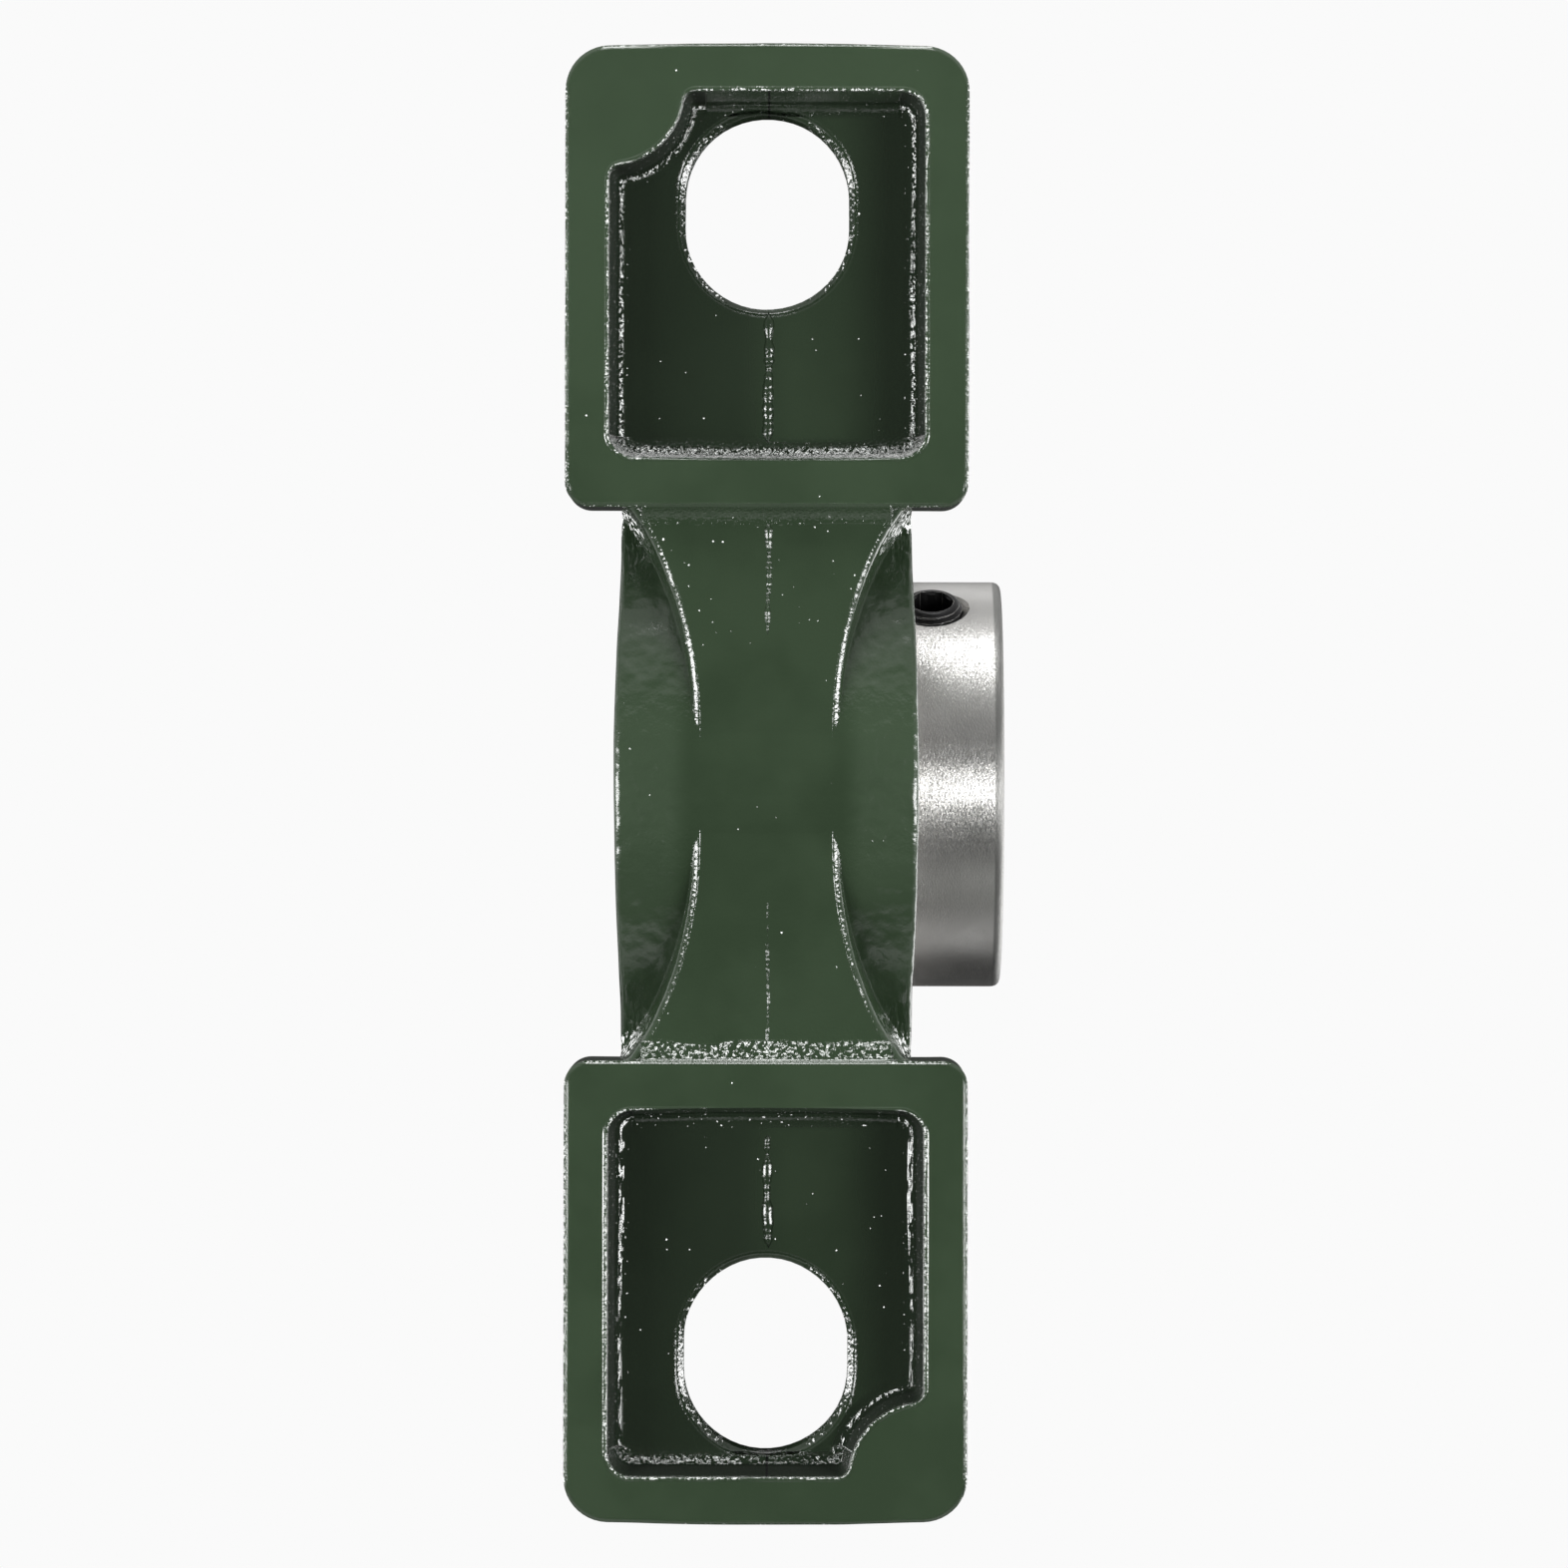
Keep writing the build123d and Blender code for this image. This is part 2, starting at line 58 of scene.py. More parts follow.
# The view. The bearing is looked at from straight below through a long lens, with the base's length
# upright in the picture and the set-screw side on the right. Everything is in metres, Z up, shaft on Y.
mm = 0.001
base_z = cad_box[0].z
camera_distance = 1.049                 # from the base plane
picture_width = 0.19465                 # seen at the base plane
aim_x, aim_y = 0.0, -0.0022
picture_roll = math.radians(-0.1)
sensor = 36.0

camera_data = bpy.data.cameras.new("camera")
camera_data.sensor_width = sensor
camera_data.lens = sensor * camera_distance / picture_width
camera_data.clip_start, camera_data.clip_end = 0.05, 20.0
camera = bpy.data.objects.new("camera", camera_data)
bpy.context.scene.collection.objects.link(camera)
camera.location = (aim_x, aim_y, base_z - camera_distance)
camera.rotation_euler = (math.pi, 0.0, -math.pi / 2 + picture_roll)
bpy.context.scene.camera = camera
bpy.context.scene.view_settings.view_transform = "Standard"


# The studio: a pale floor under the feet, soft lamps all round, and a pale surround. The floor is
# one-sided and lets lamps below it reach the underside. Lamps are never seen by the camera.
class Value:
    """A number that the shader works out. Arithmetic on it adds the matching Math nodes."""

    def __init__(self, finish, socket):
        self.finish, self.socket = finish, socket

    def _math(self, operation, first, second=0.0):
        return self.finish.node("ShaderNodeMath", {"operation": operation}, [first, second])

    def __add__(self, other):
        return self._math("ADD", self, other)

    __radd__ = __add__

    def __sub__(self, other):
        return self._math("SUBTRACT", self, other)

    def __rsub__(self, other):
        return self._math("SUBTRACT", other, self)

    def __mul__(self, other):
        return self._math("MULTIPLY", self, other)

    __rmul__ = __mul__

    def __gt__(self, other):
        return self._math("GREATER_THAN", self, other)

    def __lt__(self, other):
        return self._math("LESS_THAN", self, other)

    def power(self, exponent):
        return self._math("POWER", self, exponent)

    def absolute(self):
        return self._math("ABSOLUTE", self)

    def sign(self):
        return self._math("SIGN", self)

    def most(self, other):
        return self._math("MAXIMUM", self, other)

    def least(self, other):
        return self._math("MINIMUM", self, other)

    def step(self, low, high):
        """Runs smoothly from 0 at low to 1 at high."""
        sockets = {"Value": self, "From Min": low, "From Max": high}
        return self.finish.node("ShaderNodeMapRange", {"interpolation_type": "SMOOTHSTEP"}, sockets)

    def fade(self, low, high):
        """Runs smoothly from 1 at low to 0 at high."""
        return 1.0 - self.step(low, high)


class Finish:
    """The node tree of a material or the world, filled by calls to node()."""

    def __init__(self, tree):
        self.tree = tree
        tree.nodes.clear()

    def node(self, kind, settings=None, sockets=None, output=0):
        """Adds a node: its settings first, then values or links for its sockets; gives one output."""
        made = self.tree.nodes.new(kind)
        for name, value in (settings or {}).items():
            if name == "stops":
                ramp = made.color_ramp.elements
                while len(ramp) < len(value):
                    ramp.new(0.5)
                for element, (place, colour) in zip(ramp, value):
                    element.position, element.color = place, colour
            else:
                setattr(made, name, value)
        pairs = sockets.items() if isinstance(sockets, dict) else enumerate(sockets or [])
        for name, value in pairs:
            if isinstance(value, Value):
                self.tree.links.new(value.socket, made.inputs[name])
            elif value is not None:
                made.inputs[name].default_value = value
        return Value(self, made.outputs[output] if made.outputs else None)

    def blend_colour(self, factor, first, second):
        """Colour mix from first to second: a Mix node's sockets 6 and 7 and its output 2 are colours."""
        settings = {"data_type": "RGBA"}
        return self.node("ShaderNodeMix", settings, {"Factor": factor, 6: first, 7: second}, 2)

    def noise(self, place, scale, detail=2.0, roughness=0.5):
        """Noise about 0.5, with scale grains to the metre."""
        sockets = {"Vector": place, "Scale": scale, "Detail": detail, "Roughness": roughness}
        return self.node("ShaderNodeTexNoise", None, sockets)

    def stretched(self, place, factors):
        """A place multiplied along X, Y and Z: a pattern read there is drawn out where a factor is small."""
        return self.node("ShaderNodeVectorMath", {"operation": "MULTIPLY"}, {0: place, 1: factors})

    def parts(self, vector):
        """X, Y and Z of a vector."""
        return [self.node("ShaderNodeSeparateXYZ", None, {"Vector": vector}, axis) for axis in "XYZ"]

    def bump(self, height, strength=1.0, distance=1.0 * mm, normal=None):
        """A normal tilted by a height, which is in units of the distance."""
        sockets = {"Strength": strength, "Distance": distance, "Height": height, "Normal": normal}
        return self.node("ShaderNodeBump", None, sockets)


def hypotenuse(first, second):
    """Length of a vector that has these two parts at right angles."""
    return (first.power(2.0) + second.power(2.0)).power(0.5)


def new_material(name):
    """An empty material and its Finish."""
    material = bpy.data.materials.new(name)
    material.use_nodes = True
    return material, Finish(material.node_tree)


def surface(finish, **sockets):
    """The material's Principled shader; names are the sockets' names with spaces as underscores."""
    sockets = {name.replace("_", " "): value for name, value in sockets.items()}
    shader = finish.node("ShaderNodeBsdfPrincipled", None, sockets)
    finish.node("ShaderNodeOutputMaterial", None, {"Surface": shader})


surround_white = 0.956                   # linear, the pale surround as the camera sees it
surround_light = 0.35                    # what matt surfaces get from it
surround_shade = 0.8                     # how much of that is missing straight below the bearing
# What shiny surfaces mirror at each angle round Y: 0 is straight down, positive towards -X
mirrored_stops = (
    (-180, 0.04), (-150, 0.05), (-125, 0.02), (-116, 0.02), (-101, 0.52), (-84, 0.27), (-70, 0.15),
    (-59, 0.66), (-50, 0.20), (-38, 0.01), (-16, 0.04), (0, 0.05), (12, 0.05), (24, 0.04), (38, 0.34),
    (50, 0.46), (62, 0.48), (78, 0.42), (92, 0.42), (108, 0.54), (122, 0.30), (138, 0.95), (152, 0.8),
    (164, 0.05),
)
mirrored_sides = 0.22, 0.95              # the same towards +Y and -Y, below and above the horizon

world = bpy.data.worlds.new("surround")
bpy.context.scene.world = world
world.use_nodes = True
sky = Finish(world.node_tree)
seen = sky.node("ShaderNodeLightPath")
shiny = sky.node("ShaderNodeLightPath", None, None, "Is Glossy Ray")
shiny = shiny.most(sky.node("ShaderNodeLightPath", None, None, "Is Transmission Ray"))
toward_x, toward_y, toward_z = sky.parts(sky.node("ShaderNodeTexCoord", None, None, "Generated"))
below = 0.0 - toward_z
turn = sky.node("ShaderNodeMath", {"operation": "ARCTAN2"}, [0.0 - toward_x, below])
stops = [(degrees / 360.0 + 0.5, (level,) * 3 + (1,)) for degrees, level in mirrored_stops]
ramp = sky.node("ShaderNodeValToRGB", {"stops": stops}, {"Fac": turn * (1.0 / (2.0 * math.pi)) + 0.5})
around = sky.node("ShaderNodeSeparateColor", None, {"Color": ramp}, "Red")
sideways = toward_y.absolute().step(0.55, 0.95)
beside = mirrored_sides[0] + (mirrored_sides[1] - mirrored_sides[0]) * toward_z.step(-0.05, 0.25)
mirrored = around * (1.0 - sideways) + sideways * beside
received = surround_light * (1.0 - surround_shade * below.step(0.45, 0.85))
strength = seen * surround_white + (1.0 - seen) * (shiny * mirrored + (1.0 - shiny) * received)
background = sky.node("ShaderNodeBackground", None, {"Color": (1, 1, 1, 1), "Strength": strength})
sky.node("ShaderNodeOutputWorld", None, {"Surface": background})

floor_size = 5.0                         # its edge stays out of sight in a low view
floor_mesh = bpy.data.meshes.new("floor")
half = floor_size / 2
corners = [(-half, -half, base_z), (half, -half, base_z), (half, half, base_z), (-half, half, base_z)]
floor_mesh.from_pydata(corners, [], [(0, 1, 2, 3)])
floor = bpy.data.objects.new("floor", floor_mesh)
bpy.context.scene.collection.objects.link(floor)
floor_material, plain = new_material("floor")
from_below = plain.node("ShaderNodeNewGeometry", None, None, "Backfacing")
matt = plain.node("ShaderNodeBsdfDiffuse", None, {"Color": (0.82, 0.82, 0.81, 1)})
clear = plain.node("ShaderNodeBsdfTransparent")
one_sided = plain.node("ShaderNodeMixShader", None, [from_below, matt, clear])
plain.node("ShaderNodeOutputMaterial", None, {"Surface": one_sided})
floor_mesh.materials.append(floor_material)
floor.visible_shadow = floor.visible_diffuse = floor.visible_glossy = False

# name: heading, degrees up from straight below, distance, size across and along the lean, radiance
lamps = {
    "left": ((0.08, 1), 50.0, 0.90, (0.15, 0.86), 13.0),
    "right": ((0.08, -1), 50.0, 0.90, (0.15, 0.86), 13.0),
    "head_end": ((-1, 0), 75.0, 0.90, (0.40, 0.34), 11.0),
    "top": ((0.3, -1), 130.0, 1.20, (0.9, 0.9), 3.0),
}
for name, (heading, lean, distance, size, radiance) in lamps.items():
    lamp = bpy.data.lights.new(name, "AREA")
    lamp.shape, lamp.size, lamp.size_y = "RECTANGLE", size[0], size[1]
    lamp.energy = math.pi * size[0] * size[1] * radiance
    holder = bpy.data.objects.new(name, lamp)
    bpy.context.scene.collection.objects.link(holder)
    reach = distance * math.sin(math.radians(lean)) / math.hypot(*heading)
    depth = distance * math.cos(math.radians(lean))
    holder.location = (heading[0] * reach, heading[1] * reach, -depth)
    holder.rotation_euler = (-holder.location).to_track_quat("-Z", "Y").to_euler()
    holder.visible_camera = False


# The housing: one grey-iron sand casting in glossy dark green enamel. Its base rims and seat are
# machined; everything else keeps the mould's skin, which is roughest inside the two hollow feet.
seed = np.random.default_rng(7)


def smooth(value, low, high):
    """Runs smoothly from 0 at low to 1 at high, as 3t^2 - 2t^3."""
    t = np.clip((value - low) / (high - low), 0.0, 1.0)
    return t * t * (3.0 - 2.0 * t)


def ripples(points, wavelength, waves=36):
    """Sum of cosines along random directions, wavelengths within a third of the given one, about -1 to 1."""
    directions = seed.normal(size=(waves, 3))
    directions /= np.linalg.norm(directions, axis=1)[:, None]
    lengths = wavelength * seed.uniform(0.67, 1.33, waves)
    phases = seed.uniform(0.0, 2.0 * math.pi, waves)
    angle = points @ (directions * (2.0 * math.pi / lengths)[:, None]).T + phases
    return np.cos(angle).sum(axis=1) / math.sqrt(waves / 2.0) / 2.0


def rows_of(items, name):
    """A vector that each vertex of a mesh has, one row each."""
    values = np.empty(len(items) * 3)
    items.foreach_get(name, values)
    return values.reshape(-1, 3)


def add_piece(name, mesh, material, body, slot, *nodes):
    """Shows a mesh as a piece: its material, the body it rides on, and the nodes it stands for, which are
    hidden. The slot is not used.
    """
    piece = bpy.data.objects.new(name, mesh)
    bpy.context.scene.collection.objects.link(piece)
    mesh.materials.clear()
    mesh.materials.append(material)
    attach(piece, body)
    if nodes:
        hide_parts(*nodes)
    return piece


def joined_copy(node):
    """A copy of a CAD node's mesh with its loose triangles joined."""
    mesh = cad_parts[node].data.copy()
    mesh.attributes.remove(mesh.attributes["custom_normal"])
    shape = bmesh.new()
    shape.from_mesh(mesh)
    bmesh.ops.remove_doubles(shape, verts=shape.verts, dist=0.002 * mm)
    shape.to_mesh(mesh)
    shape.free()
    return mesh


def evened(mesh, longest):
    """Joins flat neighbours, then halves every edge longer than a length until none is left."""
    shape = bmesh.new()
    shape.from_mesh(mesh)
    bmesh.ops.dissolve_limit(shape, angle_limit=math.radians(0.05), verts=shape.verts, edges=shape.edges)
    bmesh.ops.triangulate(shape, faces=shape.faces)
    while long_edges := [edge for edge in shape.edges if edge.calc_length() > longest]:
        bmesh.ops.subdivide_edges(shape, edges=long_edges, cuts=1)
        cut_faces = [face for face in shape.faces if len(face.verts) > 3]
        bmesh.ops.triangulate(shape, faces=cut_faces, quad_method="SHORT_EDGE")
    shape.to_mesh(mesh)
    shape.free()


def crisp(mesh, degrees=28.0):
    """Smooth shading that breaks at edges sharper than the angle."""
    mesh.shade_smooth()
    mesh.set_sharp_from_angle(angle=math.radians(degrees))
    return mesh


casting = joined_copy("housing")
evened(casting, 2.4 * mm)

foot_end = cad_box[1].x
foot_inner = 34.4 * mm
seat_radius, seat_half = 41.2 * mm, 19.2 * mm
seat_margin = 0.4 * mm                   # the cast skin takes over within this of the seat
neck_flare = 0.4 * mm                    # the ring's faces run out a little just before each foot
neck_x, neck_y, neck_z = (25 * mm, foot_inner), (14 * mm, 16.5 * mm), (-28 * mm, -31 * mm)
neck_end = 20 * mm
hollow_bow = 0.4 * mm                    # the inner wall of each hollow is bowed towards the ring
bow_near, bow_far = (38 * mm, 40 * mm), (47 * mm, 43 * mm)
bow_half, bow_height = 19 * mm, 11 * mm
wide_wave, short_wave = (0.04 * mm, 16 * mm), (0.03 * mm, 7 * mm)    # height and length

places = rows_of(casting.vertices, "co")
normals = rows_of(casting.vertex_normals, "vector")
x, y, z = places.T
seat_zone = smooth(np.hypot(x, z), seat_radius + seat_margin, seat_radius)
seat_zone *= smooth(np.abs(y), seat_half + seat_margin, seat_half)
base_zone = smooth(z, base_z + 0.5 * mm, base_z + 0.25 * mm)
cast_zone = (1.0 - seat_zone) * (1.0 - base_zone)
waviness = wide_wave[0] * ripples(places, wide_wave[1]) + short_wave[0] * ripples(places, short_wave[1])
places += normals * (cast_zone * waviness)[:, None]
flare = smooth(np.abs(x), *neck_x) * (np.abs(x) < foot_inner + 0.5 * mm)
flare *= smooth(np.abs(y), *neck_y) * smooth(z, *neck_z) * (np.abs(y) < neck_end)
places[:, 1] += np.sign(y) * neck_flare * flare
bow = smooth(np.abs(x), *bow_near) * smooth(np.abs(x), *bow_far) * (z < base_z + bow_height)
places[:, 0] -= np.sign(x) * hollow_bow * bow * np.clip(1.0 - (y / bow_half) ** 2, 0.0, 1.0)
places = np.clip(places, list(cad_box[0]), list(cad_box[1]))
casting.vertices.foreach_set("co", places.ravel())

# Where the finish changes is worked out in the shader, in millimetres from the bearing's centre. Both feet
# are one foot turned half round the upright axis, so lengths along the base count outwards on each. The head
# end is towards -X and the tail end towards +X.
foot_tip, foot_root, foot_half = foot_end / mm, foot_inner / mm, 25.1
hollow_outer = foot_tip - 5.9
hollow_inner = hollow_outer - 45.5
hollow_middle, hollow_reach = (hollow_inner + hollow_outer) / 2, (hollow_outer - hollow_inner) / 2
hollow_half, hollow_corner, hollow_depth = 19.7, 3.1, 10.4
boss_radius, boss_blend = 9.3, 1.5       # the solid corner, and how softly it runs into the walls
slot_x, slot_half, slot_radius = 71.7, 1.9, 10.3    # the wall round the bolt slot
web_depth = 2.0                          # how far the web stands up from the base
waist_end, waist_half, web_arc, web_round = 7.5, 9.1, 51.9, 0.9
parting_y = -0.2 * mm                    # where the mould's halves met
band_edge, band_full = 3.4, 2.9          # the strip along a hollow's wall, how far in it starts and is full

enamel, coat = new_material("green_enamel")
place = coat.node("ShaderNodeTexCoord", None, None, "Object")
east, north, up = [part * (1.0 / mm) for part in coat.parts(place)]
out, side = east.absolute(), north * east.sign()
aside = side.absolute()
height = up - base_z / mm
head_end, tail_end = east < 0.0, east > 0.0

# Gaps between a place and an edge. They grow inwards from the walls of the hollow and the sides of the foot,
# and outwards from the boss, the slot's wall and the web.
boss_gap = hypotenuse(out - hollow_outer, side + hollow_half) - boss_radius
past_x = (out - hollow_middle).absolute() - hollow_reach + hollow_corner
past_y = aside - hollow_half + hollow_corner
round_corner = hypotenuse(past_x.most(0.0), past_y.most(0.0)) + past_x.most(past_y).least(0.0)
straight_gap = hollow_corner - round_corner
short_x, short_y = (boss_blend - straight_gap).most(0.0), (boss_blend - boss_gap).most(0.0)
wall_gap = boss_blend - hypotenuse(short_x, short_y)
wall_reach = straight_gap.least(boss_gap)
past_slot = ((out - slot_x).absolute() - slot_half).most(0.0)
slot_gap = hypotenuse(past_slot, side) - slot_radius
outer_gap = (foot_half - aside).least(foot_tip - out)
edge_gap = outer_gap.least(out - foot_root)
web_curve = (web_arc ** 2 - (out - waist_end).most(0.0).power(2.0)).power(0.5)
web_gap = aside - (waist_half + web_arc - web_curve)

# Zones of the casting, 1 inside and 0 outside
seat_r, seat_y, seat_edge = seat_radius / mm, seat_half / mm, 0.2
past_radius = hypotenuse(east, up).step(seat_r, seat_r + seat_edge)
past_end = north.absolute().step(seat_y, seat_y + seat_edge)
seat = 1.0 - past_radius.most(past_end)
on_foot = edge_gap.step(-0.3, 0.0)
off_foot = 1.0 - on_foot
in_hollow = on_foot * wall_gap.step(-0.15, 0.15) * height.step(0.05, 0.35) * height.fade(18.2, 18.4)
by_wall = in_hollow * wall_reach.fade(2.0, 3.0)
off_wall = 1.0 - by_wall
outer_tail = east.step(hollow_outer - band_edge, hollow_outer - band_full)
inner_tail = east.step(-hollow_inner - 3.0, -hollow_inner - 2.6) * head_end
tail_wall = outer_tail.most(inner_tail)
lateral = aside.step(hollow_half - band_edge, hollow_half - band_full).most(boss_gap.fade(2.5, 3.0))
lateral = lateral * by_wall * (1.0 - tail_wall)
in_corner = by_wall * height.step(7.4, 8.8)
at_root = off_foot * out.step(31.6, 32.4) * aside.fade(15.6, 16.2)
at_root = at_root * height.fade(web_depth - 0.02, web_depth + 0.02)
by_slot = in_hollow * slot_gap.fade(0.9, 1.5)
slot_side = in_hollow * slot_gap.fade(0.45, 0.85) * aside.step(4.0, 7.0)
at_base = on_foot * height.fade(0.3, 0.7)
on_rim = at_base * (1.0 - in_hollow) * edge_gap.step(0.35, 0.6) * wall_gap.fade(-0.6, -0.35)
at_edge = at_base * (1.0 - on_rim)
at_neck = out.step(24.0, 30.0) * aside.step(12.5, 15.0) * off_foot
at_neck = at_neck * height.step(3.0, 6.0) * height.fade(16.5, 18.0)
ring_side = off_foot * aside.step(9.0, 12.5) * out.fade(24.0, 29.0)
web_edge = off_foot * out.step(4.5, 6.5) * web_gap.step(-web_round, 0.1 - web_round)
web_edge = web_edge * height.fade(2.9, 3.1)
under_web = off_foot * height.fade(2.6, 3.0)
hollow_bed = in_hollow * off_wall * height.step(10.0, 10.2) * height.fade(10.6, 10.8)
outer_side = outer_gap.fade(0.6, 1.0) * height.step(1.0, 2.0)

# Patterns. A step or a fade of one is in its own values, from 0 to 1.
cloud = coat.noise(place, 70.0, 3.0)
grit = coat.noise(place, 3900.0, 0.4, 0.4)
chunks = coat.noise(place, 2300.0, 1.0)
peel = coat.noise(place, 1800.0, 1.0)
lumps = coat.noise(place, 200.0, 2.0, 0.4)
waves = coat.noise(place, 420.0, 1.0)
blobs = coat.noise(place, 1900.0, 1.5, 0.6)
dots = coat.noise(place, 2700.0, 0.5)
patches = coat.noise(place, 130.0, 1.0).step(0.42, 0.62)
clusters = coat.noise(place, 240.0, 1.0).step(0.52, 0.60)
drawn = coat.noise(coat.stretched(place, (0.1, 1.0, 0.3)), 3000.0, 1.0)
streaks = coat.noise(coat.stretched(place, (1.0, 0.05, 1.0)), 900.0, 2.0)
long_beads = coat.noise(coat.stretched(place, (0.3, 1.0, 1.0)), 1700.0, 1.0)

# The colour: enamel, with painted light and shade. The sides of the ring and the head foot are painted paler
# where light falls more on them, and both feet a little paler; the hollows are painted dark with shade, save
# a painted band of light across each floor; almost black in the crack along the parting line, and bare iron
# in the seat.
deep_green = (0.033, 0.056, 0.029, 1)
light_green = (0.042, 0.069, 0.037, 1)
# painted shade: the enamel's green darkened for the hollows
hollow_shade_green = (0.014, 0.022, 0.013, 1)
# painted light: the enamel's green made paler for the lit sides of the ring and the feet
pale_lit_green = (0.062, 0.098, 0.056, 1)
crack_green = (0.003, 0.004, 0.003, 1)
bare_iron = (0.42, 0.41, 0.39, 1)
# where the painted band of light across each hollow's floor is centred, along Y in mm
floor_light_y = -6.0
crack = in_hollow * by_wall * (north - parting_y / mm).absolute().fade(0.10, 0.20)
crack = crack * (out > hollow_inner + 10.0)
# Painted light: a paler band across each hollow's floor, centred at that Y
floor_light_band = in_hollow * off_wall * (north - floor_light_y).absolute().fade(2.0, 10.0)
# Painted light: the head foot is painted paler, more so towards its tip; both feet are a little paler too
pale_feet_lit_head = 0.12 + (0.10 + 0.26 * out.step(34.0, 75.0)) * head_end
green = coat.blend_colour(cloud.step(0.35, 0.65), deep_green, light_green)
# Painted light: the sides of the ring are painted paler near its middle
green = coat.blend_colour(ring_side * out.fade(6.0, 20.0) * 0.5, green, pale_lit_green)
green = coat.blend_colour(on_foot * pale_feet_lit_head, green, pale_lit_green)
# Painted shade: the hollows are darkened, less so across the painted band of light on each floor
green = coat.blend_colour(in_hollow * 0.65 - floor_light_band * 0.40, green, hollow_shade_green)
green = coat.blend_colour(crack, green, crack_green)
colour = coat.blend_colour(seat, green, bare_iron)

# The relief of the skin, in mm: sand grains by the walls and edges, waves and orange peel elsewhere
fine_grit = (0.02 + 0.04 * patches) * in_corner + 0.015 * by_wall + 0.05 * at_edge
fine_grit = fine_grit + 0.004 * in_hollow + 0.010 * in_hollow * head_end
coarse_grit = 0.10 * by_wall * tail_wall + 0.03 * by_slot + 0.04 * slot_side
coarse_grit = coarse_grit + 0.16 * at_root + 0.05 * web_edge
relief = grit * fine_grit + chunks * coarse_grit + lumps * 0.08 + peel * 0.03 + waves * ring_side * 0.28
relief = relief * (1.0 - on_rim) * (1.0 - seat) + on_rim * streaks * 0.006

# Glints: grains of sand under the enamel stand at every angle, and those that face a lamp shine as white
# beads. On a bead the normal is swapped for the way that such a grain faces, to the head end or to one side.
# Between the beads of a wall that is full of them the skin is dull, and faces straight down.
crowd = clusters * (under_web * (0.08 + 0.42 * (east < -15.0)) + hollow_bed * 0.16) + 0.004
cells = {"Vector": place, "Scale": 700.0}
from_centre = coat.node("ShaderNodeTexVoronoi", {"voronoi_dimensions": "2D"}, cells, "Distance")
cell_colour = coat.node("ShaderNodeTexVoronoi", {"voronoi_dimensions": "2D"}, cells, "Color")
chance = coat.node("ShaderNodeSeparateColor", None, {"Color": cell_colour}, "Red")
reach = coat.node("ShaderNodeSeparateColor", None, {"Color": cell_colour}, "Green") * 0.05
specks = (from_centre + (blobs - 0.5) * 0.24 - reach).fade(0.0, 0.04) * (chance + crowd > 1.0)
specks = specks * (under_web + hollow_bed + on_rim)

wander = wall_gap + (coat.noise(place, 330.0, 1.0) - 0.5) * 0.7
rim_line = on_foot * wander.absolute().fade(0.18, 0.28) * height.fade(0.6, 0.8)
outline = edge_gap.absolute().fade(0.15, 0.30) * height.fade(0.5, 0.6) * (aside > 15.0).most(out > 60.0)
over_wall = (height + grit * 0.3 + head_end * 0.15).step(9.86, 9.98)
fillet = lateral * over_wall * (height + cloud * 0.3).fade(10.3, 10.4)
sandy = by_wall * tail_wall * height.step(0.5, 0.8) * height.fade(10.2, 10.35)
sandy = sandy.most(at_root * tail_end)
sparse = tail_end * (out > 60.0) * (0.5 * (height < 9.0) + 0.10 * (north < 3.0))
sparse = sparse + at_root * 0.07 * (1.0 - clusters)
head_glint = sandy * (blobs - (0.43 - 0.05 * head_end + sparse)).step(0.0, 0.04)
drops = long_beads.step(0.44, 0.50) * tail_end + blobs.step(0.46, 0.50) * head_end
side_glint = (fillet * drops).most(slot_side * blobs.step(0.55, 0.60))
side_glint = side_glint.most((rim_line + outline * 0.8) * dots.step(0.45, 0.50))
side_glint = side_glint.most(at_neck * out.step(25.0, 33.0) * drawn.step(0.48, 0.58)).most(specks)
side_glint = side_glint.most(by_wall * (1.0 - tail_wall) * dots.step(0.72, 0.76)).least(1.0 - head_glint)
dull = (sandy * (1.0 - blobs.step(0.51, 0.55)) * 0.85).most(lateral * height.step(0.6, 0.9) * 0.9)
dull = dull.most(sandy * (sparse > 0.3) * 0.9).most(by_slot * height.step(10.5, 11.0) * 0.5)
dull = dull.least(1.0 - head_glint).least(1.0 - side_glint)
relief = relief * (1.0 - 0.92 * dull)

# The way that each kind of grain faces. It turns a little along the base, because the lamps are near.
head_way, head_down = 0.588, 0.809       # towards the head end, and down
side_way, side_down = 0.42, 0.91         # to one side, and down
outwards = north.sign() * (1.0 - 2.0 * in_hollow)
as_cast = 1.0 - head_glint - side_glint - dull
lean = 0.5 * by_wall * height.fade(6.9, 7.9)
facing_x = side_glint * (0.03 - 0.001 * east) - head_glint * (head_way + 0.0004 * east)
facing_y = side_glint * side_way * outwards
facing_z = head_glint * (0.0003 * east - head_down) - side_glint * side_down - dull - lean * as_cast
facing = coat.node("ShaderNodeCombineXYZ", None, [facing_x, facing_y, facing_z])
eased = coat.node("ShaderNodeBevel", {"samples": 6}, {"Radius": 0.4 * mm})
plain_part = coat.node("ShaderNodeVectorMath", {"operation": "SCALE"}, {0: eased, "Scale": as_cast})
normal = coat.node("ShaderNodeVectorMath", {"operation": "ADD"}, {0: plain_part, 1: facing})
normal = coat.node("ShaderNodeVectorMath", {"operation": "NORMALIZE"}, {0: normal})
roughness = 0.08 + cloud * 0.05 + by_wall * (1.0 - in_corner) * 0.15 + ring_side * 0.10 + outer_side * 0.36
skin = coat.bump(relief, normal=normal)
surface(coat, Base_Color=colour, Roughness=roughness, Metallic=seat, IOR=1.85, Normal=skin)

